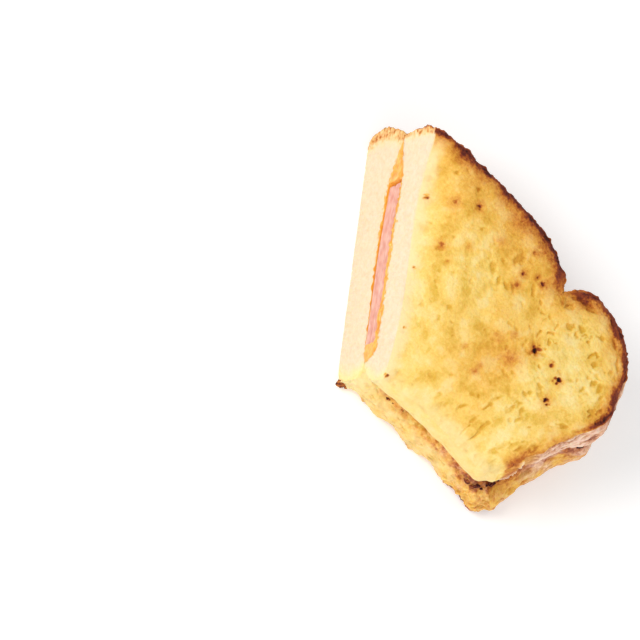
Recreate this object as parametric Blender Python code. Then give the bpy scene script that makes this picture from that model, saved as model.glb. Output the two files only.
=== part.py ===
"""Ham and cheese french toast: one cut piece of a sandwich made from two slices of a domed loaf.

The piece lies flat. +X runs along the front edge from the knife cut to the side crust, +Y runs back
from the front edge to the domed crust, and +Z is up. The origin is the bottom centre of its box.
Lengths are in metres. Every layer is one block of cells bent into the shape of the slice.
"""

import bmesh
import bpy
from math import cos, exp, hypot, pi, radians, sin
from mathutils import Vector, noise
from typing import NamedTuple

MM = 0.001

# Plan of the upper slice's rim. The corner between the front edge and the side crust is the plan's zero.
FRONT = 35.0 * MM  # front edge, from the knife cut to the corner
CUT_RUN = 29.5 * MM  # how far the knife cut runs out to -X on its way back
CUT_DEPTH = 46.0 * MM  # how far back the knife cut meets the dome
FRONT_BOW = 1.1 * MM  # the front edge is pressed in by this much at its middle
DOME_X = -44.0 * MM
DOME_Y = 49.1 * MM
DOME_HALF_CUT = 28.0 * MM  # half widths of the dome, towards the cut and towards the notch
DOME_HALF_NOTCH = 25.8 * MM
DOME_FALL = 7.3 * MM  # the dome's crest stands this far behind the notch
LOBE_X = -8.0 * MM
LOBE_Y = 30.9 * MM
LOBE_R = 15.1 * MM
NOTCH_ANGLE = radians(136.0)  # where the lobe's arc meets the dome, and where the north side ends
LOBE_END_ANGLE = radians(45.0)
NOTCH_SHARPNESS = 12  # the dome closes on the notch within its last stretch
CENTRE = Vector((-27.0 * MM, 26.0 * MM, 0.0))

# Heights.
TOP_FRONT = 20.6 * MM  # the upper face's height at the front edge, and its rise towards the dome
TOP_RISE = 9.8 * MM
TOP_BEND = 2.5
SQUASH = 4.9 * MM  # the knife pressed the upper face down beside the cut, most of all near the dome
SQUASH_FRONT = 1.4 * MM
SQUASH_BEND = 1.8
SQUASH_REACH = 11.0 * MM
SEAM_FRONT = 10.8 * MM  # where the two slices touch, at the front edge, and its rise
SEAM_RISE = 3.6 * MM
SEAM_CURL = 2.4 * MM
GAP = 0.32 * MM  # clearance between touching pieces
FILL_FRONT = 5.2 * MM  # room for the filling at the front edge, and from FILL_FULL of the depth on
FILL_BACK = 6.5 * MM
FILL_FULL = 0.45
FILL_WIDTH = 4.4 * MM  # the seam opens to the filling's full room within this distance from the rim
FILL_TAPER = 13.0 * MM  # the same from FILL_FULL of the depth on, where it opens in a long wedge
DIP_FRONT = 0.17  # share of the room pressed into the lower slice, at the front and from DIP_FULL on
DIP_BACK = 0.42
DIP_FULL = 0.6


class Walls(NamedTuple):
    """How far a slice's walls stand off the plan, at the slice's lower face, half height and upper face."""

    flare: tuple  # the side crust slopes out
    recess: tuple  # the side crust draws back in towards the front corner
    rounding: tuple  # every rim goes in, or swells where this is negative
    tuck: tuple  # the front edge goes back
    lean: tuple  # the knife cut leans out
    blunt: tuple  # the front corner of the side crust goes back, and half as far in
    heel: tuple  # the dome's crust stands out
    hook: tuple  # a tear of crust stands out at the lobe


# The two slices meet at the seam, so the lower one's last values are the upper one's first ones.
LOWER_WALLS = Walls(
    flare=(10.5 * MM, 8.9 * MM, 5.4 * MM),
    recess=(0.0, 1.0 * MM, 3.6 * MM),
    rounding=(0.1 * MM, -0.9 * MM, 1.2 * MM),
    tuck=(0.1 * MM, 0.2 * MM, 1.1 * MM),
    lean=(2.8 * MM, 2.1 * MM, 1.5 * MM),
    blunt=(3.6 * MM, 2.8 * MM, 3.0 * MM),
    heel=(1.0 * MM, 2.3 * MM, 0.6 * MM),
    hook=(0.6 * MM, 3.2 * MM, 4.3 * MM),
)
UPPER_WALLS = Walls(
    flare=(5.4 * MM, 2.8 * MM, 0.0),
    recess=(3.6 * MM, 1.6 * MM, 0.0),
    rounding=(1.2 * MM, -1.0 * MM, -0.3 * MM),
    tuck=(1.1 * MM, 0.3 * MM, 0.2 * MM),
    lean=(1.5 * MM, 0.9 * MM, 0.3 * MM),
    blunt=(3.0 * MM, 2.7 * MM, 2.8 * MM),
    heel=(0.6 * MM, 0.0, 0.0),
    hook=(4.3 * MM, 2.7 * MM, 1.6 * MM),
)
FLARE_GROWTH = 1.15  # the flare is at its full width shortly before the side crust
FLARE_FADE = 0.5  # the side crust's slope loses this share of its width on the way to the lobe
BLUNT_START = 0.84  # the blunt corner takes the last part of the front edge
HOOK_Y = 27.0 * MM
HOOK_WIDTH = 4.6 * MM
ROUND_REACH = 6.0 * MM  # how far in from the rim the rounding is felt
CRUST_DROP = 1.5 * MM  # the upper face falls by this much at the crust, within CRUST_REACH
CRUST_REACH = 5.0 * MM
FRONT_DROP = 0.4  # share of that fall at the front edge; it is full from FRONT_DEPTH of the depth on
FRONT_DEPTH = 0.3
FOOT_LIFT = 0.6 * MM  # the underside curls up by this much at the rim, within FOOT_REACH
FOOT_REACH = 2.5 * MM

# Relief: (height, size of the lumps, place in the noise).
FACE_LUMPS = (0.55 * MM, 9.0 * MM, 3.0)
FACE_PITS = (0.30 * MM, 3.4 * MM, 11.0)
CRUST_CRAGS = (0.75 * MM, 3.8 * MM, 23.0)
CRAG_TURN = 12.0 * MM  # the crags differ between a wall's foot and its head

# Filling.
HAM_REACH = (0.115, 0.80, 0.80)  # front, back and side ends, as shares of the slice
HAM_FILL = 0.8  # share of the cheese's height
HAM_LOWER_SHARE = 0.55  # the lower ham slice is the thicker one
HAM_OFFSET = 0.025  # the lower ham slice ends this much short of the upper one
HAM_CORNER = 0.16  # the ham's side is this much shorter at its corners
POCKET_SPARE = 0.008
POCKET_PAST_CUT = 3.0 * MM

# Cells of each block: along X, along Y and in height. One column line of a slice runs into the notch.
SLICE_CELLS = (31, 20, 4)
NOTCH_COLUMN = 20
CHEESE_CELLS = (29, 18, 1)  # the cheese lies on the slice's own cells, one row and two columns short
CHEESE_START = 1
CHEESE_EDGE = 0.06 * MM  # half its thickness at the rim
HAM_CELLS = (14, 10, 1)
CROWDING = 0.45  # how much closer together the cells lie at the rims
RIM_STEPS = 48  # points for measuring the distance to the rim


def smooth(t):
    """0 below 0, 1 above 1, and a smooth step between."""
    t = min(max(t, 0.0), 1.0)
    return t * t * (3.0 - 2.0 * t)


def crowd(t):
    """Spreads 0 to 1 so that it moves slowly near both ends."""
    return t - CROWDING * sin(2.0 * pi * t) / (2.0 * pi)


def three(values, t):
    """A smooth curve through three values, at t = 0, 0.5 and 1."""
    low, middle, high = values
    return low + t * (4.0 * middle - 3.0 * low - high) + 2.0 * t * t * (low + high - 2.0 * middle)


NOTCH = crowd(NOTCH_COLUMN / SLICE_CELLS[0])
CORNER_CUT = Vector((-FRONT, 0.0, 0.0))
CORNER_SIDE = Vector((0.0, 0.0, 0.0))


def dome(x):
    """Depth of the domed crust: it falls with the fourth power of the distance from the crest."""
    half = DOME_HALF_NOTCH if x > DOME_X else DOME_HALF_CUT
    return DOME_Y - DOME_FALL * ((x - DOME_X) / half) ** 4


def lobe(angle):
    return Vector((LOBE_X + LOBE_R * cos(angle), LOBE_Y + LOBE_R * sin(angle), 0.0))


def front_side(t):
    return Vector((-FRONT * (1.0 - t), FRONT_BOW * sin(pi * t), 0.0))


def cut_side(t):
    return Vector((-FRONT - CUT_RUN * t, CUT_DEPTH * t, 0.0))


def crust_side(t):
    """The side crust swells out into the lobe, then follows its arc."""
    arc = LOBE_R * LOBE_END_ANGLE
    joint = LOBE_Y / (LOBE_Y + arc)
    if t < joint:
        y = LOBE_Y * t / joint
        return Vector(((LOBE_X + LOBE_R) * smooth(y / LOBE_Y), y, 0.0))
    return lobe(LOBE_END_ANGLE * (t - joint) / (1.0 - joint))


def dome_side(t):
    """From the knife cut over the dome into the notch, then over the lobe."""
    if t < NOTCH:
        start = -FRONT - CUT_RUN
        end = lobe(NOTCH_ANGLE).x
        share = t / NOTCH
        x = start + (end - start) * (share + 0.5 * share * (1.0 - share))
        point = Vector((x, dome(x), 0.0))
        return point + share**NOTCH_SHARPNESS * (lobe(NOTCH_ANGLE) - Vector((end, dome(end), 0.0)))
    share = (t - NOTCH) / (1.0 - NOTCH)
    return lobe(NOTCH_ANGLE + (LOBE_END_ANGLE - NOTCH_ANGLE) * share)


def plan(a, b):
    """A Coons patch between the four sides: a runs from the cut to the crust, b from front to back."""
    rails = front_side(a) * (1.0 - b) + dome_side(a) * b + cut_side(b) * (1.0 - a) + crust_side(b) * a
    corners = (
        CORNER_CUT * (1.0 - a) * (1.0 - b)
        + CORNER_SIDE * a * (1.0 - b)
        + dome_side(0.0) * (1.0 - a) * b
        + dome_side(1.0) * a * b
    )
    return rails - corners


RIM = [
    side(step / RIM_STEPS) for side in (front_side, crust_side, dome_side) for step in range(RIM_STEPS + 1)
]


def rim_distance(point):
    """Distance from the front edge, the side crust and the dome, but not from the knife cut."""
    return min(hypot(point.x - p.x, point.y - p.y) for p in RIM)


def lumps(point, relief):
    """Soft three-dimensional noise of a given height and size of lump."""
    height, size, shift = relief
    return height * noise.noise(point / size + Vector((shift, 0.0, 0.0)))


def seam(b):
    """Level between the slices: it climbs evenly and curls up at the crust."""
    return SEAM_FRONT + SEAM_RISE * b + SEAM_CURL * b**8


def filling(b, distance):
    """Floor and roof of the room between the slices."""
    opened = smooth(distance / (FILL_WIDTH + (FILL_TAPER - FILL_WIDTH) * smooth(b / FILL_FULL)))
    room = (FILL_FRONT + (FILL_BACK - FILL_FRONT) * smooth(b / FILL_FULL)) * opened
    dip = DIP_FRONT + (DIP_BACK - DIP_FRONT) * smooth(b / DIP_FULL)
    floor = seam(b) - GAP / 2.0 - room * dip
    return floor, floor + GAP + room


def squash(b, point):
    """How far the knife pressed the upper face down beside the cut."""
    away = ((point.x + FRONT) * CUT_DEPTH + point.y * CUT_RUN) / hypot(CUT_DEPTH, CUT_RUN)
    depth = SQUASH * sin(pi * b**SQUASH_BEND) + SQUASH_FRONT * (1.0 - b) ** 2
    return depth * max(0.0, 1.0 - max(away, 0.0) / SQUASH_REACH) ** 2


def top_face(b, distance, point):
    """The upper face climbs to the dome, rolls over at the crust and sinks to the cut."""
    level = TOP_FRONT + TOP_RISE * (1.0 - exp(-TOP_BEND * b)) / (1.0 - exp(-TOP_BEND))
    drop = CRUST_DROP * (FRONT_DROP + (1.0 - FRONT_DROP) * smooth(b / FRONT_DEPTH))
    roll = drop * max(0.0, 1.0 - distance / CRUST_REACH) ** 2
    return level - roll - squash(b, point) + lumps(point, FACE_LUMPS) + lumps(point, FACE_PITS)


def foot(distance):
    return FOOT_LIFT * max(0.0, 1.0 - distance / FOOT_REACH) ** 2


def shifted(a, b, c, walls):
    """Plan position of a cell corner at height share c, with the slopes and roundings of the walls."""
    point = plan(a, b)
    near = max(0.0, 1.0 - rim_distance(point) / ROUND_REACH) ** 2
    inward = (CENTRE - point).normalized()
    torn = a**8 * exp(-(((point.y - HOOK_Y) / HOOK_WIDTH) ** 2))
    slope = three(walls.flare, c) * (1.0 - FLARE_FADE * b) - three(walls.recess, c) * (1.0 - b) ** 2
    blunted = smooth((a - BLUNT_START) / (1.0 - BLUNT_START)) * (1.0 - b) ** 4
    corner = three(walls.blunt, c) * blunted
    point = point + inward * three(walls.rounding, c) * near
    point.x += smooth(a * FLARE_GROWTH) * slope + three(walls.hook, c) * torn - 0.5 * corner
    point.y += three(walls.tuck, c) * (1.0 - b) ** 2 + three(walls.heel, c) * b**6 + corner
    if a == 0.0:
        point.x = cut_side(point.y / CUT_DEPTH).x
    point.x -= three(walls.lean, c) * (1.0 - a) ** 2
    return point


def wall_crags(point, a, b, c):
    """Crags stand out from the crust walls, not from the front edge or the knife cut."""
    on_crust = a == 1.0 or b == 1.0
    if a == 0.0 or not on_crust:
        return Vector((0.0, 0.0, 0.0))
    middle = 4.0 * c * (1.0 - c)
    outward = (point - CENTRE).normalized()
    return outward * lumps(point + Vector((0.0, 0.0, c * CRAG_TURN)), CRUST_CRAGS) * middle


def lower_slice(a, b, c):
    a, b = crowd(a), crowd(b)
    distance = rim_distance(plan(a, b))
    point = shifted(a, b, c, LOWER_WALLS)
    point += wall_crags(point, a, b, c)
    floor = filling(b, distance)[0]
    base = foot(distance)
    point.z = base + (floor - base) * c
    return point


def upper_slice(a, b, c):
    a, b = crowd(a), crowd(b)
    distance = rim_distance(plan(a, b))
    point = shifted(a, b, c, UPPER_WALLS)
    point += wall_crags(point, a, b, c)
    roof = filling(b, distance)[1]
    point.z = roof + (top_face(b, distance, plan(a, b)) - roof) * c
    return point


def in_filling(a, b):
    """Plan position, floor and roof of the filling's room at a point of the seam."""
    point = shifted(a, b, 1.0, LOWER_WALLS)
    floor, roof = filling(b, rim_distance(plan(a, b)))
    return point, floor, roof


def spread(a, b, reach):
    """Lays a block's own 0 to 1 over part of the slice, with its far corners rounded off."""
    front, back, side = reach
    swell = 1.0 - HAM_CORNER * (2.0 * b - 1.0) ** 4
    return a * side * swell, front + (back - front) * b


def cheese_block(a, b, c):
    column = a * CHEESE_CELLS[0] / SLICE_CELLS[0]
    row = (CHEESE_START + b * CHEESE_CELLS[1]) / SLICE_CELLS[1]
    point, floor, roof = in_filling(crowd(column), crowd(row))
    point.z = 0.5 * (floor + roof) + max(0.5 * (roof - floor) - GAP, CHEESE_EDGE) * (2.0 * c - 1.0)
    return point


def ham_span(b, floor, roof):
    """Lowest and highest level of the ham's pocket."""
    middle = 0.5 * (floor + roof)
    half = 0.5 * HAM_FILL * (roof - floor - 2.0 * GAP)
    return middle - half, middle + half


def pocket_block(a, b, c):
    front, back, side = HAM_REACH
    a, b = spread(a, b, (front - POCKET_SPARE, back + POCKET_SPARE, side + POCKET_SPARE))
    point, floor, roof = in_filling(a, b)
    low, high = ham_span(b, floor, roof)
    point.z = low + (high - low) * c
    if a == 0.0:
        point.x -= POCKET_PAST_CUT
    return point


def lower_ham(a, b, c):
    front, back, side = HAM_REACH
    a, b = spread(a, b, (front, back - HAM_OFFSET, side - HAM_OFFSET))
    point, floor, roof = in_filling(a, b)
    low, high = ham_span(b, floor, roof)
    low, high = low + GAP, high - GAP
    point.z = low + (HAM_LOWER_SHARE * (high - low) - 0.5 * GAP) * c
    return point


def upper_ham(a, b, c):
    a, b = spread(a, b, HAM_REACH)
    point, floor, roof = in_filling(a, b)
    low, high = ham_span(b, floor, roof)
    low, high = low + GAP, high - GAP
    start = low + HAM_LOWER_SHARE * (high - low) + 0.5 * GAP
    point.z = start + (high - start) * c
    return point


def material(name, colour, roughness):
    made = bpy.data.materials.new(name)
    made.use_nodes = True
    shader = made.node_tree.nodes["Principled BSDF"]
    shader.inputs["Base Color"].default_value = (*colour, 1.0)
    shader.inputs["Roughness"].default_value = roughness
    shader.inputs["Metallic"].default_value = 0.0
    return made


def block(name, cells, shape, collection, finish=None):
    """A primitive cube with loop cuts along each axis, whose corners are then moved by a shape function."""
    bm = bmesh.new()
    bmesh.ops.create_cube(bm, size=1.0)
    bmesh.ops.translate(bm, verts=bm.verts, vec=(0.5, 0.5, 0.5))
    for axis, count in enumerate(cells):
        along = [e for e in bm.edges if abs(e.verts[0].co[axis] - e.verts[1].co[axis]) > 1e-6]
        if count > 1:
            bmesh.ops.subdivide_edges(bm, edges=along, cuts=count - 1, use_grid_fill=False)
    for vert in bm.verts:
        a, b, c = (round(value, 6) for value in vert.co)
        vert.co = shape(a, b, c)
    bmesh.ops.triangulate(bm, faces=bm.faces, quad_method="SHORT_EDGE")
    bmesh.ops.recalc_face_normals(bm, faces=bm.faces)
    mesh = bpy.data.meshes.new(name)
    bm.to_mesh(mesh)
    bm.free()
    mesh.shade_smooth()
    mesh.set_sharp_from_angle(angle=radians(50.0))
    made = bpy.data.objects.new(name, mesh)
    collection.objects.link(made)
    if finish is not None:
        made.data.materials.append(finish)
    return made


def cut_out(target, cutter):
    """Takes the cutter's shape out of the target."""
    cutter.hide_render = True
    cutter.display_type = "WIRE"
    boolean = target.modifiers.new("pocket", "BOOLEAN")
    boolean.operation = "DIFFERENCE"
    boolean.solver = "EXACT"
    boolean.object = cutter


def stand_on_origin(objects):
    """Moves the meshes so that the origin is the bottom centre of the box around all of them."""
    corners = [vert.co for made in objects for vert in made.data.vertices]
    low = Vector([min(corner[axis] for corner in corners) for axis in range(3)])
    high = Vector([max(corner[axis] for corner in corners) for axis in range(3)])
    return Vector(((low.x + high.x) / 2.0, (low.y + high.y) / 2.0, low.z))


def main():
    for old in list(bpy.data.objects):
        bpy.data.objects.remove(old)
    parts = bpy.data.collections.new("french_toast_piece")
    cutters = bpy.data.collections.new("cutters")
    bpy.context.scene.collection.children.link(parts)
    bpy.context.scene.collection.children.link(cutters)

    toast = material("toasted_bread", (0.90, 0.58, 0.14), 0.6)
    ham = material("ham", (0.95, 0.51, 0.35), 0.4)
    cheese = material("melted_cheese", (0.95, 0.43, 0.06), 0.4)

    bread = [
        block("bread_lower", SLICE_CELLS, lower_slice, parts, toast),
        block("bread_upper", SLICE_CELLS, upper_slice, parts, toast),
    ]
    filling_parts = [
        block("ham_lower", HAM_CELLS, lower_ham, parts, ham),
        block("ham_upper", HAM_CELLS, upper_ham, parts, ham),
        block("cheese", CHEESE_CELLS, cheese_block, parts, cheese),
    ]
    pocket = block("ham_pocket", HAM_CELLS, pocket_block, cutters)
    cut_out(filling_parts[-1], pocket)

    foot_centre = stand_on_origin(bread)
    for made in bread + filling_parts + [pocket]:
        for vert in made.data.vertices:
            vert.co -= foot_centre


main()
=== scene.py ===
"""Looks of one cut piece of a ham and cheese french toast.

Each slice of bread is one closed surface over a box of cells. A cell corner has three shares: a runs
from the knife cut to the side crust, b from the front edge to the domed crust, and c from the lower
face to the upper one. The form comes from the same sides and heights as the solids. Relief is then
added along the surface's own normals, and masks on the corners tell the materials how brown, soaked,
bare or cheesy each place is, and where shade and highlight of the relief are painted into the soaked
colour. Lengths are in millimetres until a mesh is made.
"""

from functools import partial
from math import cos, pi, radians, sin
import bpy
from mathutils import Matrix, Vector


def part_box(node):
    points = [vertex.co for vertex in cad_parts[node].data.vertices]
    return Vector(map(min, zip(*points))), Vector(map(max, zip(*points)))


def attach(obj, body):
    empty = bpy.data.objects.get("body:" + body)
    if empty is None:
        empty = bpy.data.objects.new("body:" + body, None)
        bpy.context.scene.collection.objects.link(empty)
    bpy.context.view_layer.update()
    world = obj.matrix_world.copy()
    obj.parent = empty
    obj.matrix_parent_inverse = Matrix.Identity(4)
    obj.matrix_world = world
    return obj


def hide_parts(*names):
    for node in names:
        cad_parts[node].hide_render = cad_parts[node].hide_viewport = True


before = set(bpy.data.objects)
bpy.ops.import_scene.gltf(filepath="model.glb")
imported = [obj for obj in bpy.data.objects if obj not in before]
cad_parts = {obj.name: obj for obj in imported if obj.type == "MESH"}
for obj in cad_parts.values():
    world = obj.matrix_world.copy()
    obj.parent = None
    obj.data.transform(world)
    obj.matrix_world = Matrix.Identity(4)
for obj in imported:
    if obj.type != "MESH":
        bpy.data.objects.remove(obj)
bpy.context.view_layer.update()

from types import SimpleNamespace

import bpy
import numpy as np
from mathutils import Matrix, Vector

MM = 0.001

# ---- the piece's form

FRONT = 35.0  # front edge, from the knife cut to the corner at the side crust, which is the plan's zero
CUT_RUN = 29.5
CUT_DEPTH = 46.0
FRONT_BOW = 1.1
DOME_X = -44.0
DOME_Y = 49.1
DOME_HALF_CUT = 28.0
DOME_HALF_NOTCH = 25.8
DOME_FALL = 7.3
LOBE_X = -8.0
LOBE_Y = 30.9
LOBE_R = 15.1
NOTCH_ANGLE = radians(136.0)
LOBE_END_ANGLE = radians(45.0)
NOTCH_SHARPNESS = 12
NOTCH = 0.702  # share of the back side that belongs to the dome
CENTRE = np.array([-27.0, 26.0])

TOP_FRONT = 20.6
TOP_RISE = 9.8
TOP_BEND = 2.5
SQUASH = 4.9
SQUASH_FRONT = 1.4
SQUASH_BEND = 1.8
SQUASH_REACH = 11.0
SEAM_FRONT = 10.8
SEAM_RISE = 3.6
SEAM_CURL = 2.4
GAP = 0.32
FILL_FRONT = 5.2
FILL_BACK = 6.5
FILL_FULL = 0.45
FILL_WIDTH = 4.4
FILL_TAPER = 13.0
FILL_RIM = 1.3  # how far in from the rim the soft crumb has closed on itself
DIP_FRONT = 0.17
DIP_BACK = 0.42
DIP_FULL = 0.6

# Walls of the slices, as in the solids: at the lower slice's foot and half height, at the seam, and at
# the upper slice's half height and top. LOWER and UPPER are where a slice's three values start.
WALLS = np.array(
    [
        (10.5, 8.9, 5.4, 2.8, 0.0),  # flare
        (0.0, 1.0, 3.6, 1.6, 0.0),  # recess
        (0.1, -0.9, 1.2, -1.0, -0.3),  # rounding
        (0.1, 0.2, 1.1, 0.3, 0.2),  # tuck
        (2.8, 2.1, 1.5, 0.9, 0.3),  # lean
        (3.6, 2.8, 3.0, 2.7, 2.8),  # blunt
        (1.0, 2.3, 0.6, 0.0, 0.0),  # heel
        (0.6, 3.2, 4.3, 2.7, 1.6),  # hook
    ]
)
LOWER, UPPER = 0, 2
FLARE_GROWTH = 1.15
FLARE_FADE = 0.5
BLUNT_START = 0.84
HOOK_Y = 27.0
HOOK_WIDTH = 4.6
ROUND_REACH = 6.0
CRUST_DROP = 1.5
CRUST_REACH = 5.0
FRONT_DROP = 0.4
FRONT_DEPTH = 0.3
FOOT_LIFT = 0.6
FOOT_REACH = 2.5
ROUND_END = 0.84  # share of the side crust from which it turns into the lobe's

HAM_REACH = (0.115, 0.80, 0.80)
HAM_FILL = 0.8
HAM_LOWER_SHARE = 0.55
HAM_OFFSET = 0.025
HAM_CORNER = 0.16
HAM_TILT = 0.24  # the ham lies nearer the lower slice at the front and nearer the upper one at the dome

# Cells: along a, along b and in c. Faces that lie hidden have one cell for each STRIDE of these.
UPPER_CELLS = (250, 190, 44)
LOWER_CELLS = (290, 220, 64)
STRIDE = 5


def ease(t):
    """0 below 0, 1 above 1, and 3t^2 - 2t^3 between."""
    t = unit(t)
    return t * t * (3.0 - 2.0 * t)


def unit(t):
    """Held within 0 to 1."""
    return np.clip(t, 0.0, 1.0)


def fade(t):
    """The ease turned over: 1 below 0 and 0 above 1."""
    return 1.0 - ease(t)


def roll(distance, reach):
    """A parabola from 1 down to 0 over the reach."""
    return unit(1.0 - distance / reach) ** 2


def hill(t, middle, reach):
    """A smooth hill of height 1 along a line."""
    return np.exp(-(((t - middle) / reach) ** 2))


def bell(x, y, middle_x, middle_y, reach):
    """A smooth hill of height 1 in the plan."""
    return np.exp(-((x - middle_x) ** 2 + (y - middle_y) ** 2) / reach**2)


def lobe(angle):
    """Circle of the lobe at an angle."""
    return np.stack([LOBE_X + LOBE_R * np.cos(angle), LOBE_Y + LOBE_R * np.sin(angle)], -1)


def dome(x):
    """Depth of the dome, which falls with the fourth power of the distance from its crest."""
    half = np.where(x > DOME_X, DOME_HALF_NOTCH, DOME_HALF_CUT)
    return DOME_Y - DOME_FALL * ((x - DOME_X) / half) ** 4


def front_side(t):
    """Half a sine wave over the front edge."""
    return np.stack([-FRONT * (1.0 - t), FRONT_BOW * np.sin(pi * t)], -1)


def cut_side(t):
    """The straight knife cut."""
    return np.stack([-FRONT - CUT_RUN * t, CUT_DEPTH * t], -1)


def crust_side(t):
    """An eased swell out to the lobe, then the lobe's circle up to its end angle."""
    arc = LOBE_R * LOBE_END_ANGLE
    joint = LOBE_Y / (LOBE_Y + arc)
    y = LOBE_Y * np.minimum(t / joint, 1.0)
    bulge = np.stack([(LOBE_X + LOBE_R) * ease(y / LOBE_Y), y], -1)
    return np.where((t < joint)[..., None], bulge, lobe(LOBE_END_ANGLE * (t - joint) / (1.0 - joint)))


def dome_side(t):
    """The dome's curve up to the notch, drawn onto it over its last stretch, then the lobe's circle."""
    start = -FRONT - CUT_RUN
    notch = lobe(np.array(NOTCH_ANGLE))
    share = unit(t / NOTCH)
    x = start + (notch[0] - start) * (share + 0.5 * share * (1.0 - share))
    bend = share[..., None] ** NOTCH_SHARPNESS * (notch - np.array([notch[0], dome(notch[0])]))
    over_dome = np.stack([x, dome(x)], -1) + bend
    past = unit((t - NOTCH) / (1.0 - NOTCH))
    over_lobe = lobe(NOTCH_ANGLE + (LOBE_END_ANGLE - NOTCH_ANGLE) * past)
    return np.where((t < NOTCH)[..., None], over_dome, over_lobe)


def plan(a, b):
    """Coons patch: both pairs of opposite sides blended, less the blend of the four corners."""
    u, v = a[..., None], b[..., None]
    sides = front_side(a) * (1.0 - v) + dome_side(a) * v + cut_side(b) * (1.0 - u) + crust_side(b) * u
    corners = (side(np.array([0.0, 1.0])) for side in (front_side, dome_side))
    front, back = (left * (1.0 - u) + right * u for left, right in corners)
    return sides - front * (1.0 - v) - back * v


def nearest_on(points, line):
    """Distance from each point to a line of short straights, and how far along it the nearest one is."""
    best = np.full(len(points), np.inf)
    along = np.zeros(len(points))
    travelled = 0.0
    for start, end in zip(line[:-1], line[1:]):
        run = end - start
        length = np.hypot(*run)
        share = unit((points - start) @ run / length**2)
        away = np.hypot(*(points - start - share[:, None] * run).T)
        nearer = away < best
        best = np.where(nearer, away, best)
        along = np.where(nearer, travelled + share * length, along)
        travelled += length
    return best, along


STEPS = np.linspace(0.0, 1.0, 70)
FRONT_LINE = front_side(STEPS)
CRUST_LINE = np.concatenate([crust_side(STEPS), dome_side(STEPS[::-1])[1:]])


def seam_level(b):
    """Where the slices touch: it climbs evenly and curls up at the crust."""
    return SEAM_FRONT + SEAM_RISE * b + SEAM_CURL * b**8


def filling(b, distance):
    """Floor and roof of the room between the slices, which opens with an ease behind the rim."""
    width = FILL_WIDTH + (FILL_TAPER - FILL_WIDTH) * ease(b / FILL_FULL)
    opened = ease((distance - FILL_RIM) / (width - FILL_RIM))
    room = (FILL_FRONT + (FILL_BACK - FILL_FRONT) * ease(b / FILL_FULL)) * opened
    dip = DIP_FRONT + (DIP_BACK - DIP_FRONT) * ease(b / DIP_FULL)
    floor = seam_level(b) - GAP / 2.0 - room * dip
    return floor, floor + GAP + room


def off_cut(x, y):
    """Distance of a place in the plan from the line of the knife cut."""
    return np.maximum(((x + FRONT) * CUT_DEPTH + y * CUT_RUN) / np.hypot(CUT_DEPTH, CUT_RUN), 0.0)


def top_level(b, distance, to_cut):
    """Exponential climb to the dome, less a parabolic roll over the crust and one down to the cut."""
    level = TOP_FRONT + TOP_RISE * (1.0 - np.exp(-TOP_BEND * b)) / (1.0 - np.exp(-TOP_BEND))
    drop = CRUST_DROP * (FRONT_DROP + (1.0 - FRONT_DROP) * ease(b / FRONT_DEPTH))
    squash = SQUASH * np.sin(pi * b**SQUASH_BEND) + SQUASH_FRONT * (1.0 - b) ** 2
    return level - drop * roll(distance, CRUST_REACH) - squash * roll(to_cut, SQUASH_REACH)


def stand_off(place, distance, a, b, c, first):
    """Moves plan points by parabolas through the walls' values, each fading away from its own side."""
    low, middle, high = WALLS[:, first : first + 3, None].swapaxes(0, 1)
    walls = low + c * (4.0 * middle - 3.0 * low - high) + 2.0 * c * c * (low + high - 2.0 * middle)
    flare, recess, rounding, tuck, lean, blunt, heel, hook = walls
    inward = CENTRE - place
    inward /= np.hypot(*inward.T)[:, None]
    torn = a**8 * hill(place[:, 1], HOOK_Y, HOOK_WIDTH)
    slope = flare * (1.0 - FLARE_FADE * b) - recess * (1.0 - b) ** 2
    corner = blunt * (ease((a - BLUNT_START) / (1.0 - BLUNT_START)) * (1.0 - b) ** 4)
    moved = place + inward * (rounding * roll(distance, ROUND_REACH))[:, None]
    moved[:, 0] += ease(a * FLARE_GROWTH) * slope + hook * torn - 0.5 * corner
    moved[:, 1] += tuck * (1.0 - b) ** 2 + heel * b**6 + corner
    straight = cut_side(moved[:, 1] / CUT_DEPTH)[:, 0]
    moved[:, 0] = np.where(a == 0.0, straight, moved[:, 0]) - lean * (1.0 - a) ** 2
    return moved


# ---- noise


def scatter(x, y, z, seed):
    """A value from 0 to 1 for each whole-numbered place, from products and shifts of its bits."""
    mixed = x.astype(np.uint32) * np.uint32(0x9E3779B1) + y.astype(np.uint32) * np.uint32(0x85EBCA77)
    mixed += z.astype(np.uint32) * np.uint32(0xC2B2AE3D) + np.uint32(seed * 2654435 % 4294967291)
    mixed = (mixed ^ (mixed >> np.uint32(15))) * np.uint32(0x2C1B3C6D)
    mixed = (mixed ^ (mixed >> np.uint32(12))) * np.uint32(0x297A2D39)
    return (mixed ^ (mixed >> np.uint32(15))) / 2.0**32


def scatter_three(cells, seed):
    """Three such values for each cell."""
    return np.stack([scatter(*cells.T, seed + k) for k in range(3)], -1)


SWELL_GAIN = 1.7  # stretches gradient noise to about -1 to 1


def swell(points, size, seed):
    """Gradient noise, about -1 to 1: slopes drawn at cell corners, blended by quintic weights."""
    scaled = points / size
    base = np.floor(scaled).astype(np.int64)
    offset = scaled - base
    weight = offset**3 * (offset * (offset * 6.0 - 15.0) + 10.0)
    total = np.zeros(len(points))
    for corner in np.ndindex(2, 2, 2):
        slope = scatter_three(base + corner, seed) * 2.0 - 1.0
        share = np.prod(np.where(corner, weight, 1.0 - weight), axis=1)
        total += share * np.sum(slope * (offset - corner), axis=1)
    return total * SWELL_GAIN


def rough(points, size, seed, octaves=3):
    """Sum of swells, each half as large and half as high as the one before."""
    return sum(swell(points, size / 2.0**k, seed + 10 * k) / 2.0**k for k in range(octaves))


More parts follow.
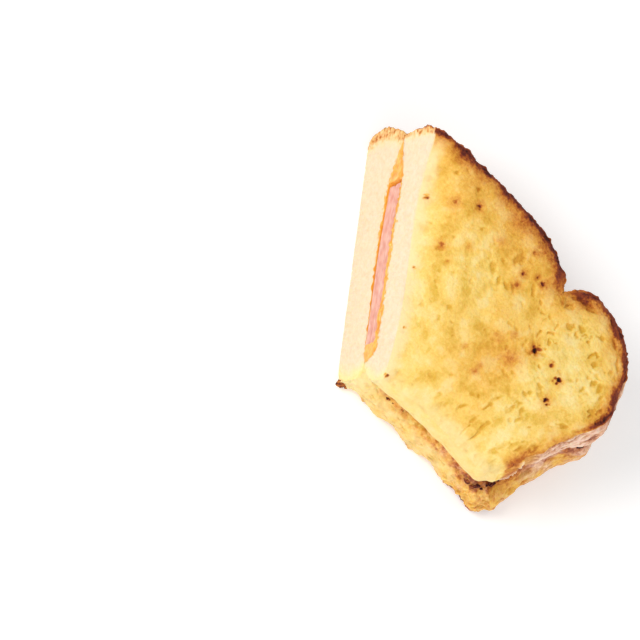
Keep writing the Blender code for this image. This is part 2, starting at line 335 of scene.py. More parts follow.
def bubbles(points, size, seed):
    """Distance to the nearest of one jittered point in each cell, in cells, and that point's own draw."""
    scaled = points / size
    base = np.floor(scaled).astype(np.int64)
    best = np.full(len(points), np.inf)
    draw = np.zeros(len(points))
    for step in np.ndindex(3, 3, 3):
        cell = base + step - 1
        centre = cell + scatter_three(cell, seed)
        away = np.sqrt(np.sum((scaled - centre) ** 2, axis=1))
        nearer = away < best
        best = np.where(nearer, away, best)
        draw = np.where(nearer, scatter(*cell.T, seed + 3), draw)
    return best, draw


def flat(x, y):
    """Points of a flat pattern."""
    return np.stack([x, y, np.zeros_like(x)], -1)


# ---- meshes


def ring_cells(ring, levels):
    """Cells of a wall of rings that stand one on the other."""
    here = np.arange(ring * levels)
    beside = here - here % ring + (here + 1) % ring
    return np.stack([here, beside, beside + ring, here + ring], -1)


def box_cells(columns, rows, levels, across=None, strides=(1, 1)):
    """Shares and faces of a closed box surface: rings of walls, and a cap of cells on each end.

    A cap with a stride has one cell for so many of the ring's, and its border cells take in all of the
    ring's corners, so that the surface stays closed.
    """
    across = np.linspace(0.0, 1.0, columns + 1) if across is None else across
    i, j = np.arange(columns + 1), np.arange(rows + 1)
    loop_i = np.concatenate([i[:-1], np.full(rows, columns), i[:0:-1], np.zeros(rows, int)])
    loop_j = np.concatenate([np.zeros(columns, int), j[:-1], np.full(columns, rows), j[:0:-1]])
    ring = len(loop_i)
    count = ring * (levels + 1)
    level, turn = np.divmod(np.arange(count), ring)
    shares = [(across[loop_i[turn]], loop_j[turn] / rows, level / levels)]
    quads, borders = [ring_cells(ring, levels)], []
    for height, stride in zip((0, levels), strides):
        index = np.full((columns + 1, rows + 1), -1)
        index[loop_i, loop_j] = height * ring + np.arange(ring)
        inner_i, inner_j = np.meshgrid(i[stride:-1:stride], j[stride:-1:stride], indexing="ij")
        index[inner_i, inner_j] = count + np.arange(inner_i.size).reshape(inner_i.shape)
        count += inner_i.size
        inner_c = np.full(inner_i.size, height / levels)
        shares.append((across[inner_i.ravel()], inner_j.ravel() / rows, inner_c))
        whole = index[::stride, ::stride]
        cells = np.stack([whole[:-1, :-1], whole[1:, :-1], whole[1:, 1:], whole[:-1, 1:]], -1)
        if height == 0:
            cells = cells[..., ::-1]
        if stride > 1:
            cells = cells[1:-1, 1:-1]
            borders += border_cells(index, stride, height == 0)
        quads.append(cells.reshape(-1, 4))
    a, b, c = (np.concatenate(part) for part in zip(*shares))
    return a, b, c, np.concatenate(quads), borders


def border_cells(index, stride, turned):
    """Outlines of a cap's border cells, with every corner that the loop has on them."""
    columns, rows = (size // stride for size in index.shape)
    outlines = []
    for i, j in np.ndindex(columns, rows):
        if 0 < i < columns - 1 and 0 < j < rows - 1:
            continue
        block = index[i * stride : (i + 1) * stride + 1, j * stride : (j + 1) * stride + 1]
        around = np.concatenate([block[:-1, 0], block[-1, :-1], block[:0:-1, -1], block[0, :0:-1]])
        outline = [int(corner) for corner in around if corner >= 0]
        outlines.append(outline[::-1] if turned else outline)
    return outlines


def normals_of(points, quads):
    """Unit sum of the cross products of the diagonals of the cells around each corner."""
    corners = points[quads]
    facing = np.cross(corners[:, 2] - corners[:, 0], corners[:, 3] - corners[:, 1])
    total = np.stack(
        [np.bincount(quads.ravel(), np.repeat(facing[:, k], 4), len(points)) for k in range(3)], -1
    )
    return total / np.maximum(np.linalg.norm(total, axis=1), 1e-12)[:, None]


def relax(points, quads, weight, rounds):
    """Draws each corner towards the mean of its neighbours, by its weight, so many times."""
    quads = quads[(weight[quads] > 0.0).any(axis=1)]
    used, quads = np.unique(quads, return_inverse=True)
    quads = quads.reshape(-1, 4)
    start, end = quads.ravel(), np.roll(quads, -1, axis=1).ravel()
    pair = np.concatenate([start, end]), np.concatenate([end, start])
    degree = np.maximum(np.bincount(pair[0]), 1)[:, None]
    near = points[used]
    pull = weight[used][:, None]
    for _ in range(rounds):
        total = np.stack([np.bincount(pair[0], near[pair[1], k]) for k in range(3)], -1)
        near += pull * (total / degree - near)
    moved = points.copy()
    moved[used] = near
    return moved


def new_object(name, data):
    """An object in the scene, at the origin."""
    made = bpy.data.objects.new(name, data)
    bpy.context.scene.collection.objects.link(made)
    return made


def new_mesh(name, points, faces):
    """A mesh of corners given in millimetres of the plan."""
    mesh = bpy.data.meshes.new(name)
    mesh.from_pydata((points + PLACE) * MM, [], faces)
    return mesh


def make_piece(name, points, faces, masks, material, node=None):
    """A finished piece, with its masks as float attributes."""
    mesh = new_mesh(name, points, faces)
    for mask, values in masks.items():
        mesh.attributes.new(mask, "FLOAT", "POINT").data.foreach_set("value", values.astype(np.float32))
    mesh.shade_smooth()
    mesh.materials.append(material)
    piece = new_object(name, mesh)
    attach(piece, "root")
    if node is not None:
        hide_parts(node)
    return piece


# ---- bread

# Swellings of the crust: middle in the plan, reach, and the move along x and y. They round the lobe's
# shoulder and close the notch between it and the dome.
SWELLINGS = (
    (-13.6, 45.0, 4.4, -0.2, 1.0),
    (-8.0, 46.0, 4.0, 0.0, 0.6),
    (-20.2, 43.6, 1.9, 0.6, 0.5),
    (-18.8, 41.6, 1.3, 0.1, -0.9),
)


def swollen(place):
    """Plan points moved by a smooth hill for each swelling."""
    moves = [bell(*place.T, *hump)[:, None] * (over, back) for *hump, over, back in SWELLINGS]
    return place + sum(moves)


def slice_corners(cells, strides, first):
    """Corners of a slice before its relief, with its shares, its distances and the sides they lie on."""
    columns = cells[0]
    notch_column = STRIDE * round(NOTCH * columns / STRIDE)
    across = np.interp(np.arange(columns + 1), [0, notch_column, columns], [0.0, NOTCH, 1.0])
    a, b, c, quads, borders = box_cells(*cells, across, strides)
    place = plan(a, b)
    to_crust, along = nearest_on(place, CRUST_LINE)
    to_front = nearest_on(place, FRONT_LINE)[0]
    to_rim = np.minimum(to_crust, to_front)
    to_cut = off_cut(*place.T)
    spread = swollen(stand_off(place, to_rim, a, b, c, first))
    floor, roof = filling(b, to_rim)
    if first == UPPER:
        low, high = roof, top_level(b, to_rim, to_cut)
        to_seam, to_outside = (high - low) * c, (high - low) * (1.0 - c)
    else:
        low, high = FOOT_LIFT * roll(to_rim, FOOT_REACH), floor
        to_seam, to_outside = (high - low) * (1.0 - c), (high - low) * c
    cut = a == 0.0
    front = (b == 0.0) & ~cut
    side = (a == 1.0) & ~front
    back = (b == 1.0) & ~cut & ~side
    points = np.column_stack([spread, low + (high - low) * c])
    s = SimpleNamespace(a=a, b=b, c=c, points=points, quads=quads, borders=borders)
    s.distances = (to_crust, to_front, to_cut, to_outside, to_seam, along)
    s.sides = (cut, front, side, back)
    s.inner = ~(cut | front | side | back)
    s.round_end = ease((b - ROUND_END) / (1.0 - ROUND_END))
    return s


def soften(s, corner, corner_rounds, rounding, held):
    """Draws the rim's corners in: the front corner by many rounds, and the other edges by fewer."""
    points = relax(s.points, s.quads, np.where(held, 0.0, corner), corner_rounds)
    return relax(points, s.quads, rounding, 16)


CUT_WAY = np.array([-0.54, 0.842, 0.0])  # the knife cut's way back through the plan


def torn_end(s, points, bulge, seed):
    """Tufts of crust at the far end of the knife cut: they stand out along it, most at mid height."""
    near = fade(s.a / 0.03) * fade(s.distances[0] / 2.0)
    tufts = 0.15 + 0.55 * swell(points, 1.1, seed) + 0.35 * swell(points, 0.5, seed + 1)
    amount = near * (tufts + bulge * 4.0 * s.c * (1.0 - s.c))
    return points + amount[:, None] * CUT_WAY


def crags(points, fine, seed):
    """Relief of browned crust: lumps and finer lumps."""
    return 0.15 + 0.40 * rough(points, 3.2, seed, 2) + fine * rough(points, 1.3, seed + 4, 2)


def cut_crumb(points, to_crust, reach, seed):
    """Relief of the cut crumb: small holes and soft waves, rougher within a reach of the crust."""
    away, draw = bubbles(points, 1.05, seed)
    holes = fade((away - 0.16) / 0.2) * (draw > 0.45)
    waves = 0.07 * swell(points, 2.2, seed + 1) - 0.12 * holes + 0.04 * swell(points, 0.6, seed + 3)
    return waves + fade(to_crust / reach) * (0.1 + 0.4 * rough(points, 1.1, seed + 2, 2))


def end_band(points, to_crust, width, seed):
    """Grainy crust at the end of the cut: how much of it shows, and how brown its grains are."""
    ragged = 0.7 * swell(points, 1.3, seed) + 0.4 * swell(points, 0.55, seed + 1)
    shown = fade((to_crust + ragged - 0.4 * width) / (0.6 * width))
    grains = swell(points, 0.7, seed + 2)
    edge = 0.14 * fade((to_crust + 0.4 * ragged) / 0.9)
    return shown * (0.85 + 0.3 * grains), shown * (0.37 + 0.20 * grains + edge)


# Burnt spots of the upper face: place in the plan, radius and how burnt they are at the middle.
SPOTS = (
    (-15.1, 26.4, 1.15, 1.0), (-6.4, 25.6, 0.95, 1.0), (-5.6, 20.4, 0.85, 1.0),
    (-9.9, 26.8, 0.8, 0.65), (-29.8, 42.3, 0.5, 0.6), (-28.6, 36.9, 0.65, 0.75),
    (-28.0, 34.1, 0.95, 0.5), (-25.4, 38.8, 0.5, 0.65), (-23.5, 38.5, 0.75, 0.8),
    (-46.0, 40.5, 0.8, 0.75), (-50.8, 37.3, 0.9, 0.5), (-55.5, 34.5, 0.6, 0.6),
    (-46.6, 28.4, 1.0, 0.52), (-40.1, 9.9, 0.4, 0.45), (-35.0, 0.9, 0.55, 0.6),
    (-18.0, 21.0, 1.3, 0.36), (-23.4, 22.8, 1.0, 0.30), (-37.2, 38.4, 0.9, 0.32),
    (-41.9, 32.0, 0.8, 0.34), (-20.9, 25.7, 0.6, 0.36), (-22.0, 13.8, 0.55, 0.45),
    (-22.1, 15.4, 0.4, 0.4), (-27.5, 15.9, 0.4, 0.42), (-47.4, 21.1, 0.4, 0.5),
    (-43.2, 26.5, 0.4, 0.42),
)

# Browner patches of the upper face: place in the plan, reach and how much browner.
PATCHES = (
    (-24.0, 14.0, 8.0, 0.10), (-18.0, 20.0, 7.0, 0.10), (-26.0, 27.0, 4.0, 0.05),
    (-4.0, 20.0, 5.0, 0.09), (-31.0, 38.0, 5.0, 0.08), (-37.0, 43.0, 4.0, 0.10),
    (-50.0, 43.0, 6.0, 0.06), (-51.0, 36.0, 4.0, 0.05), (-14.0, 43.5, 3.0, 0.14),
    (-14.0, 4.0, 6.0, 0.05), (-4.0, 8.0, 5.0, -0.05), (8.0, 26.0, 3.5, 0.10),
)


def burnt_spots(x, y):
    """Burnt middles of uneven outline, each with a few crumbs by it, and the soft halos round them."""
    wobble = swell(flat(x, y), 0.8, 71)
    haze = swell(flat(x, y), 1.2, 72)
    burn = np.zeros_like(x)
    halo = np.zeros_like(x)
    for number, (spot_x, spot_y, radius, strength) in enumerate(SPOTS):
        turn = 2.4 * number
        for reach, size, share in ((0.0, 0.75, 1.0), (1.0, 0.55, 0.6), (-0.7, 0.5, 0.7), (1.5, 0.3, 0.5)):
            middle_x = spot_x + reach * radius * cos(turn + reach)
            middle_y = spot_y + reach * radius * sin(turn + reach)
            away = np.hypot(x - middle_x, y - middle_y) / (size * radius) + 0.4 * wobble
            burn = np.maximum(burn, share * strength * fade((away - 0.4) / 0.9))
        away = np.hypot(x - spot_x, y - spot_y) / (1.4 * radius + 0.2) + 0.4 * haze
        halo = np.maximum(halo, (0.4 + 0.6 * strength) * np.exp(-np.maximum(away, 0.0) ** 2))
    return burn, halo


def pores(along, across, length, width, seed, share):
    """Holes and their lips: bubbles in stretched and bent coordinates, in a share of the cells."""
    place = flat(along / length, across / width)
    bent = place + 0.42 * flat(swell(place, 0.9, seed + 5), swell(place, 0.9, seed + 6))
    away, draw = bubbles(bent, 1.0, seed)
    radius = 0.22 + 0.28 * draw / share
    there = draw < share
    inside = fade((away - radius + 0.09 * swell(place, 0.35, seed + 7)) / 0.44 + 0.5) * there
    lip = hill(away - radius, 0.16, 0.11) * there
    return inside, lip


def paper_folds(along, across, seed):
    """Folds of thin crust, -1 to 1: bent lines along the rim, from noise folded over at its zero."""
    bend = 0.9 * swell(flat(along, across), 3.5, seed + 1)
    wave = swell(flat(along / 5.5, (across + bend) / 1.5), 1.0, seed)
    fine = swell(flat(along / 2.2, (across + bend) / 0.6), 1.0, seed + 2)
    return np.clip(0.8 - 2.6 * np.abs(wave) + 0.5 * fine, -1.0, 1.0)


def toasted_face(x, y):
    """Relief of the toasted face, and its soaked places with painted shade and painted highlight.

    Soft blotches lie everywhere. Long pores follow the lobe's arc, slant down from the notch, and run
    beside the side crust.
    """
    place = flat(x, y)
    radius = np.hypot(x - LOBE_X, y - LOBE_Y)
    turn = np.arctan2(y - LOBE_Y, x - LOBE_X)
    presence = ease((swell(place, 5.0, 8) + 0.55) / 0.5)
    in_lobe = ease((x + 20.0) / 3.0) * ease((radius - 3.0) / 3.0) * ease((y - 14.0) / 5.0) * presence
    in_slant = unit(bell(x, y, -20.0, 32.0, 8.0) + bell(x, y, -33.0, 36.0, 6.0)) * presence
    in_side = unit(bell(x, y, -8.0, 12.0, 9.0) + bell(x, y, -15.0, 6.0, 8.0))
    holes = lips = np.zeros_like(x)
    for where, depth, height, *pattern in (
        (in_lobe, 1.0, 1.0, turn * 11.0, radius, 2.8, 1.6, 63, 0.65),
        (in_slant, 1.0, 1.0, (x - y) * 0.7, (x + y) * 0.7, 3.2, 1.7, 73, 0.35),
        (in_side, 0.7, 1.0, 0.33 * x + 0.94 * y, 0.94 * x - 0.33 * y, 2.9, 1.7, 83, 0.5),
        (presence, 0.6, 0.5, x, y, 1.6, 1.3, 93, 0.10),
    ):
        inside, lip = pores(*pattern)
        holes = np.maximum(holes, inside * where * depth)
        lips = np.maximum(lips, lip * where * height)
    coarse = rough(place, 4.6, 7, 3)
    blotches = ease((coarse - 0.08) / 0.5)
    ridges = ease((-coarse - 0.08) / 0.5)
    relief = 0.40 * swell(place, 9.0, 5) + 0.14 * swell(place, 3.6, 6) + 0.05 * swell(place, 1.5, 14)
    relief += 0.06 * ridges - 0.10 * blotches - 0.44 * holes + 0.02 * lips
    # Soaked colour with painted light: holes and blotched dents are painted darker as painted shade, and
    # ridges and lips paler as painted highlight.
    soak_and_shade = 0.7 * blotches + 1.5 * holes - 0.9 * ridges - 0.4 * lips
    return relief, soak_and_shade


def cheese_stain(points, to_seam, b, seed):
    """Orange specks where cheese soaked into the crumb: noise that passes less with distance."""
    reach = ease(b / 0.06) * ease((0.95 - b) / 0.1)
    return ease((swell(points, 0.9, seed) * 1.1 + 0.45 - to_seam) / 0.4) * reach


def bread_piece(name, points, s, masks, material, node):
    """A slice's piece. Browning and bare crumb are held within 0 to 1, and soaking, with its painted
    shade and highlight, within -1 to 1.
    """
    for mask, lowest in (("browning", 0.0), ("crumb", 0.0), ("soak_and_shade", -1.0)):
        masks[mask] = np.clip(masks[mask], lowest, 1.0)
    return make_piece(name, points, s.quads.tolist() + s.borders, masks, material, node)


def upper_slice(material):
    """The upper slice: toasted face, golden rim, knife cut and flaky side crust."""
    s = slice_corners(UPPER_CELLS, (STRIDE, 1), UPPER)
    cut, front, side, back = s.sides
    to_crust, to_front, to_cut, to_outside, to_seam, along = s.distances
    on_top = s.c == 1.0
    face = on_top & ~cut
    near_edge = fade(np.minimum(to_crust, 0.7 * to_front) / 1.6)
    rounding = np.where(on_top, near_edge, fade(to_outside / 1.8)) * 0.8
    rounding = np.where(to_cut < 0.5, np.minimum(rounding, 0.12), rounding)
    corner = 0.8 * fade((np.hypot(s.points[:, 0], s.points[:, 1] - 2.5) - 2.0) / 3.5)
    points = soften(s, corner, 70, rounding, s.inner & (s.c == 0.0))
    normals = normals_of(points, s.quads)
    x, y, z = points.T
    wave = partial(swell, points)

    face_relief, face_soak_and_shade = toasted_face(x, y)
    spots, halo = burnt_spots(x, y)
    face_relief -= 0.35 * ease((spots - 0.35) / 0.3)
    face_relief *= 0.25 + 0.75 * ease(np.minimum(to_crust, to_cut) / 1.8)
    lumps = crags(points, 0.32, 21)
    paper = paper_folds(y, z - 0.12 * y, 27)
    off_ribbon = to_seam - (to_seam + to_outside) * (along / 7.5) ** 1.2 + 0.5 * wave(2.0, 26)
    ribbon = hill(off_ribbon, 0.0, 0.45) * ease(along / 1.5) * ease((9.0 - along) / 2.5)
    torn = ease(off_ribbon / 0.8) * ease((8.0 - along) / 3.0)
    scoop = ease(-off_ribbon / 1.2) * ease((along - 1.0) / 2.0) * ease((13.0 - along) / 4.0)
    front_holes, front_lips = pores(x, z, 2.2, 1.1, 131, 0.3)
    front_relief = 0.22 * wave(3.0, 29) - 0.18 * front_holes + 0.05 * front_lips
    side_relief = (0.4 * paper + 0.35 * wave(4.0, 28)) * (1.0 - 0.8 * np.maximum(scoop, torn))
    side_relief = (side_relief + 0.55 * ribbon - 0.5 * scoop) * ease(along / 2.0)
    side_relief += (lumps - side_relief) * s.round_end
    relief = np.select(
        [cut, front, side, back, face],
        [cut_crumb(points, to_crust, 2.2, 31), front_relief, side_relief, lumps, face_relief],
    )
    rim_lift = np.where(face, 0.35 * fade(to_crust / 1.2) * rough(points, 2.2, 35, 2), 0.0)
    points = torn_end(s, points + normals * (relief + rim_lift)[:, None], 0.6, 36)
    wave = partial(swell, points)

    ragged = 0.6 * wave(2.4, 41) + 0.6 * wave(1.1, 42) + 0.5 * wave(0.5, 40)
    at_notch = bell(x, y, -18.0, 41.8, 4.0)
    at_lobe = ease((x + 20.0) / 8.0)
    inward = np.maximum(to_crust + 1.5 * wave(6.0, 43) * ease(to_crust / 2.0) + ragged, 0.0)
    inward *= 1.0 + 0.5 * hill(along, 28.0, 5.0)
    burnt_rim = 0.26 * fade((inward - 1.0 + 0.2 * at_lobe) / 1.6) * (1.0 - 0.9 * at_notch)
    burnt_rim += 0.30 * hill(inward, 0.0, 3.6 + 0.6 * at_lobe) * (1.0 - 0.4 * at_notch)
    burnt_rim += (0.22 - 0.10 * at_lobe) * np.exp(-inward / 8.0) * (1.0 - 0.5 * at_notch)
    soft_rim = 0.12 * fade(inward / 1.6) + 0.16 * hill(inward, 0.0, 4.0)
    soft_rim = (soft_rim + 0.24 * bell(x, y, 1.0, 6.5, 4.0)) * ease((y - 4.4) / 1.2)
    in_lobe = at_lobe * ease((y - 14.0) / 6.0)
    face_soak_and_shade -= 0.25 * in_lobe
    browning = 0.09 - 0.04 * in_lobe + burnt_rim + (soft_rim - burnt_rim) * fade((along - 21.0) / 6.0)
    browning += 0.04 * ease((wave(10.0, 44) + 0.15) / 0.8)
    browning += sum(more * bell(x, y, *patch) for *patch, more in PATCHES)
    # Browner where the face is most soaked: partly soaked colour and partly painted shade in the pores
    # and dents.
    browning += (0.06 + 0.10 * burnt_rim) * ease((face_soak_and_shade - 0.5) / 0.5)
    browning = np.maximum(browning + 0.24 * halo, spots)

    wall_brown = 0.64 + 0.11 * rough(points, 2.2, 45) + 0.10 * wave(8.0, 39)
    wall_brown -= 0.22 * fade(to_seam / 3.0) + 0.25 * at_notch
    front_brown = 0.12 + 0.04 * wave(3.0, 48)
    side_brown = 0.38 + 0.16 * rough(points, 2.0, 46) * (1.0 - scoop) + 0.08 * torn - 0.08 * scoop
    side_brown = front_brown + (side_brown - front_brown) * ease((along - 1.6) / 1.2)
    side_brown += 0.30 * hill(along, 31.0, 3.0)
    side_brown += (wall_brown - side_brown) * s.round_end
    seam_line = 0.34 * fade((to_seam + 0.3 * wave(1.4, 47)) / 0.9)
    front_brown += seam_line
    band, band_brown = end_band(points, to_crust, 2.8, 50)
    turned = fade(to_outside / 0.9) * fade((to_crust + ragged - 1.2) / 2.0)
    band, band_brown = np.maximum(band, turned), np.maximum(band_brown, 0.62 * turned)
    browns = [band_brown, front_brown, side_brown, wall_brown]

    soaked_front = fade((to_front + 0.8 * wave(2.5, 51)) / 3.2)
    crumb = np.where(cut, 1.0 - np.maximum(band, 0.75 * soaked_front), 0.0)
    unburnt = fade(spots / 0.3)
    faded = fade((to_cut + 0.9 * wave(2.6, 53) + 0.3 * wave(0.9, 54) - 0.3) / 3.4)
    faded *= ease((to_crust - 1.5) / 6.0) * unburnt
    at_edge = 0.5 * fade((to_front + wave(2.4, 58) - 0.5) / 3.5) * unburnt
    by_cut = fade((to_cut - 0.3 + 0.8 * wave(2.0, 56)) / 5.0)
    edge_fade = unit(np.maximum(0.85 * by_cut, 0.40 + 0.25 * wave(2.2, 57) - seam_line))
    papery = ease((along - 5.0 + 2.5 * wave(2.4, 55)) / 5.5) * (1.0 - 0.7 * scoop)
    # The ribbon's ridge takes the flaky crust's colour, whose whitish end there is partly a painted
    # highlight along the ridge.
    papery = np.where(side & ~on_top, np.maximum(papery, ribbon), 0.0)
    # Painted light on the side crust: the scoop is painted darker as painted shade, and the paper folds'
    # crests and the ribbon's ridge paler as painted highlight.
    side_soak_and_shade = 0.5 * scoop - paper * (1.0 - scoop) - ribbon
    # The front's holes are painted darker as painted shade over its soaked colour.
    soaks_and_shades = [face_soak_and_shade * ease(to_crust), 0.6 * front_holes - 0.15, side_soak_and_shade]
    masks = {
        "browning": np.select([cut, front, side, back], browns, browning),
        "crumb": crumb,
        "soak_and_shade": np.select([face, front, side], soaks_and_shades),
        "cheesy": np.where(cut, cheese_stain(points, to_seam, s.b, 52), 0.0),
        "papery": papery * (1.0 - 0.75 * hill(along, 31.0, 2.5)) * (1.0 - s.round_end),
        "faded": np.select([cut, face, front], [crumb, np.maximum(faded, at_edge), edge_fade]),
    }
    return bread_piece("upper_slice", points, s, masks, material, "bread_upper")


def lower_slice(material):
    """The lower slice: soaked front, knife cut, and a side crust that slopes out into a torn hook."""
    s = slice_corners(LOWER_CELLS, (STRIDE, STRIDE), LOWER)
    cut, front, side, back = s.sides
    to_crust, to_front, to_cut, to_outside, to_seam, _ = s.distances
    rounding = fade(np.minimum(to_outside, to_seam) / 1.6) * 0.8
    rounding = np.where(s.a < 0.02, np.minimum(rounding, 0.12), rounding)
    corner = 0.8 * fade((np.hypot(FRONT * (1.0 - s.a), LOBE_Y * s.b) - 1.0) / 3.0)
    points = soften(s, corner, 50, np.where(s.inner, 0.0, rounding), s.inner)
    normals = normals_of(points, s.quads)
    x, y, z = points.T
    wave = partial(swell, points)

    low_down = fade(to_outside / 5.0)
    folds = (0.42 + 0.5 * low_down) * wave(6.0, 105) + (0.20 + 0.3 * low_down) * wave(2.4, 106)
    folds += (0.06 + 0.12 * low_down) * wave(0.8, 109)
    front_holes, front_lips = pores(x + 0.4 * z, z, 2.3, 1.15, 107, 0.5)
    blotches = ease((rough(points, 3.0, 110) - 0.02) / 0.45)
    torn_corner = bell(x, y, 0.0, 0.0, 9.0)
    tatters = rough(points, 1.1, 108, 2)
    front_relief = folds - 0.38 * front_holes + 0.10 * front_lips - 0.12 * blotches
    front_relief += (0.16 + 0.22 * torn_corner) * tatters
    paper = paper_folds(y, z + 0.1 * y, 111)
    side_holes, _ = pores(y + 0.3 * z, z - 0.1 * y, 3.6, 1.3, 114, 0.5)
    hollow = hill(y, 6.0, 3.2) * hill(to_seam, 2.4, 1.9)
    side_relief = (1.1 * folds - 0.34 * side_holes + 0.16 * paper) * (1.0 - 0.8 * hollow) - 0.7 * hollow
    side_relief += 0.34 * torn_corner * tatters
    lumps = crags(points, 0.30, 121)
    side_relief += (lumps - side_relief) * s.round_end
    cut_relief = cut_crumb(points, to_crust, 3.0, 131)
    relief = np.select([cut, front, side, back], [cut_relief, front_relief, side_relief, lumps])
    points = torn_end(s, points + normals * relief[:, None], 0.3, 136)
    points[:, 2] = np.maximum(points[:, 2], 0.0)
    wave = partial(swell, points)

    stain = fade((to_seam + 0.9 * wave(2.2, 147) + 0.5 * wave(0.8, 146) - 1.6) / 1.8)
    seam_line = stain * (0.10 + 0.16 * ease((x + 18.0) / 14.0) + 0.25 * wave(1.2, 145))
    grains = 0.6 * wave(0.9, 143) + 0.4 * wave(0.45, 142)
    at_corner = ease((x + 7.0) / 7.0)
    foot_line = 0.28 * fade((to_outside + 0.5 * wave(2.0, 148)) / 2.0)
    foot_line *= 1.0 + 1.2 * np.where(front, at_corner, ease((9.0 - y) / 6.0))
    front_brown = 0.14 + 0.07 * wave(3.0, 149) + seam_line + foot_line + 0.12 * at_corner
    front_brown += (0.08 + 0.12 * at_corner) * grains - 0.08 * fade(to_cut / 6.0)
    wall_brown = 0.56 + 0.14 * rough(points, 2.2, 151) + 0.12 * wave(8.0, 141)
    wall_brown -= 0.20 * fade(to_seam / 4.0)
    side_brown = 0.29 + 0.12 * grains + 0.14 * rough(points, 2.2, 150) * (1.0 - hollow)
    side_brown += 0.8 * foot_line + 0.25 * stain
    side_brown += (wall_brown - side_brown) * s.round_end
    under = 0.30 + 0.15 * rough(points, 8.0, 152) + 0.3 * fade(to_crust / 4.0)
    band, band_brown = end_band(points, to_crust, 4.6, 158)
    skin = fade((to_outside + 0.3 * wave(1.6, 153)) / 0.8) * fade(to_crust / 10.0)
    soaked_front = fade((to_front + 0.8 * wave(2.5, 155)) / 4.5)
    crumb = np.where(cut, 1.0 - np.maximum(np.maximum(0.8 * skin, band), 0.85 * soaked_front), 0.0)
    by_cut = fade((to_cut - 0.3 + 0.8 * wave(2.0, 159)) / 7.0)
    patchy = (0.3 + 0.4 * wave(2.6, 154)) * (1.0 - at_corner) * (1.0 - stain)
    # Painted light over the soaked colour: holes and blotched dents are painted darker as painted shade,
    # and the holes' lips paler as painted highlight.
    front_soak_and_shade = 0.8 * front_holes + 0.5 * blotches - 0.4 * front_lips
    papery = 0.8 * ease(wave(4.0, 157) + 0.5) * (1.0 - 0.5 * hill(y, 0.0, 9.0)) * (1.0 - hollow)
    film = unit(0.28 * (0.8 + 0.8 * wave(2.5, 144)) * (1.0 - by_cut))
    masks = {
        "browning": np.select(
            [cut, front, side, back, s.inner & (s.c == 0.0)],
            [np.maximum(0.26 * skin, band_brown), front_brown, side_brown, wall_brown, under],
            0.2,
        ),
        "crumb": crumb,
        # On the side, the holes and the hollow are painted darker as painted shade, and the paper folds'
        # crests paler as painted highlight.
        "soak_and_shade": np.select([front, side], [front_soak_and_shade, 0.6 * side_holes - 0.6 * paper + 0.9 * hollow]),
        "cheesy": np.where(cut, cheese_stain(points, to_seam, s.b, 156) * ease((s.b - 0.4) / 0.2), 0.0),
        "papery": np.select([side, front], [papery * (1.0 - s.round_end), film]),
        "faded": unit(np.where(front, np.maximum(patchy, 0.9 * by_cut), crumb)),
    }
    return bread_piece("lower_slice", points, s, masks, material, "bread_lower")


# ---- crumbs

# Burnt crumbs: shares along the front edge and along the side crust, share of the lower slice's height,
# size, how long, and how much paler than burnt.
SEAM_CRUMBS = (
    (0.20, 0.0, 0.86, 0.40, 1.4, 0.25), (0.235, 0.0, 0.86, 0.26, 1.0, 0.3),
    (0.30, 0.0, 0.88, 0.24, 1.5, 0.35), (0.62, 0.0, 0.88, 0.26, 1.4, 0.35),
    (0.835, 0.0, 0.86, 0.62, 1.3, 0.1), (0.87, 0.0, 0.82, 0.45, 1.6, 0.2),
    (0.91, 0.0, 0.84, 0.62, 1.5, 0.0), (0.945, 0.0, 0.80, 0.40, 1.2, 0.1),
    (1.0, 0.015, 0.88, 0.50, 1.5, 0.0), (1.0, 0.05, 0.86, 0.62, 1.8, 0.0),
    (1.0, 0.085, 0.86, 0.45, 1.5, 0.1), (1.0, 0.60, 0.98, 0.50, 1.9, 0.0),
    (1.0, 0.63, 1.0, 0.36, 1.6, 0.0), (1.0, 0.66, 1.0, 0.32, 1.4, 0.0),
    (0.015, 0.0, 0.14, 1.05, 1.0, 0.25), (0.05, 0.0, 0.12, 0.40, 1.3, 0.35),
)
CRUMB_TURNS = 16
CRUMB_RINGS = 9


